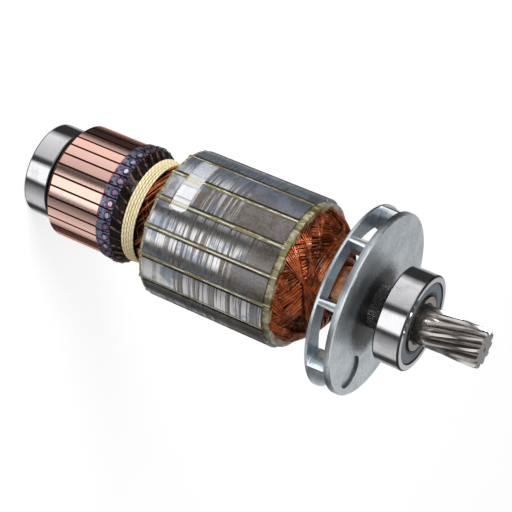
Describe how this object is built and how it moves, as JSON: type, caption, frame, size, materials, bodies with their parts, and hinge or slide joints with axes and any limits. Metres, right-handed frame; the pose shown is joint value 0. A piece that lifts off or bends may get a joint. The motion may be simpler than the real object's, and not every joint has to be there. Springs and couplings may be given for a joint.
{
  "type": "motor armature",
  "caption": "Wound motor armature with commutator, slotted core, cooling fan, two sealed ball bearings and a helical pinion on one shaft.",
  "frame": {"origin": "centre of the rear bearing's outward face, which the part stands on", "axes": "+Z along the shaft from the rear bearing toward the pinion"},
  "size_m": [0.0536, 0.0536, 0.143],
  "materials": {
    "shaft_steel": "ground and hobbed steel",
    "amber_insulation": "glossy amber moulding",
    "phenolic": "matt black moulding",
    "bar_copper": "turned bright copper",
    "mica": "matt brown",
    "tinted_copper": "heat-tinted",
    "lead_wire": "brown varnished wire",
    "black_resin": "hardened varnish",
    "cord": "cream twisted cord",
    "enamelled_wire": "glossy copper-red enamel",
    "end_fibre": "varnished fibre",
    "lamination_steel": "turned sheet-steel edges",
    "slot_paper": "varnished paper",
    "slot_winding": "varnished copper wire",
    "wedge_fibre": "varnished olive strip",
    "cast_fan": "satin casting",
    "bearing_steel": "ground and polished",
    "ball_steel": "polished",
    "cage_steel": "pressed sheet",
    "seal_rubber": "satin grey rubber"
  },
  "bodies": {
    "rotor": {"shaft": "shaft_steel", "shaft_sleeve": "amber_insulation", "commutator_moulding": "phenolic", "commutator_bars": "bar_copper", "mica_segments": "mica", "coil_wire_ends": "tinted_copper", "coil_leads": "lead_wire", "resin_collar": "black_resin", "binding_cord": "cord", "rear_winding_head": "enamelled_wire", "rear_end_fibre": "end_fibre", "lamination_stack": "lamination_steel", "slot_liners": "slot_paper", "slot_coils": "slot_winding", "slot_wedges": "wedge_fibre", "front_end_fibre": "end_fibre", "front_winding_head": "enamelled_wire", "cooling_fan": "cast_fan", "rear_bearing_inner_ring": "bearing_steel", "front_bearing_inner_ring": "bearing_steel"},
    "rear_outer_race": {"rear_bearing_outer_ring": "bearing_steel", "rear_bearing_lower_seal": "seal_rubber", "rear_bearing_upper_seal": "seal_rubber"},
    "rear_ball_train": {"rear_bearing_balls": "ball_steel", "rear_bearing_cage": "cage_steel"},
    "front_outer_race": {"front_bearing_outer_ring": "bearing_steel", "front_bearing_lower_seal": "seal_rubber", "front_bearing_upper_seal": "seal_rubber"},
    "front_ball_train": {"front_bearing_balls": "ball_steel", "front_bearing_cage": "cage_steel"}
  },
  "joints": [
    {"name": "rear_bearing_spin", "type": "hinge", "parent": "rotor", "child": "rear_outer_race", "pos_m": [0, 0, 0.004], "axis": [0, 0, 1], "continuous": true},
    {"name": "rear_ball_orbit", "type": "hinge", "parent": "rotor", "child": "rear_ball_train", "pos_m": [0, 0, 0.004], "axis": [0, 0, 1], "continuous": true},
    {"name": "front_bearing_spin", "type": "hinge", "parent": "rotor", "child": "front_outer_race", "pos_m": [0, 0, 0.1204], "axis": [0, 0, 1], "continuous": true},
    {"name": "front_ball_orbit", "type": "hinge", "parent": "rotor", "child": "front_ball_train", "pos_m": [0, 0, 0.1204], "axis": [0, 0, 1], "continuous": true}
  ],
  "couplings": [
    {"joint": "rear_ball_orbit", "follows": "rear_bearing_spin", "ratio": 0.6193},
    {"joint": "front_ball_orbit", "follows": "front_bearing_spin", "ratio": 0.6193}
  ]
}
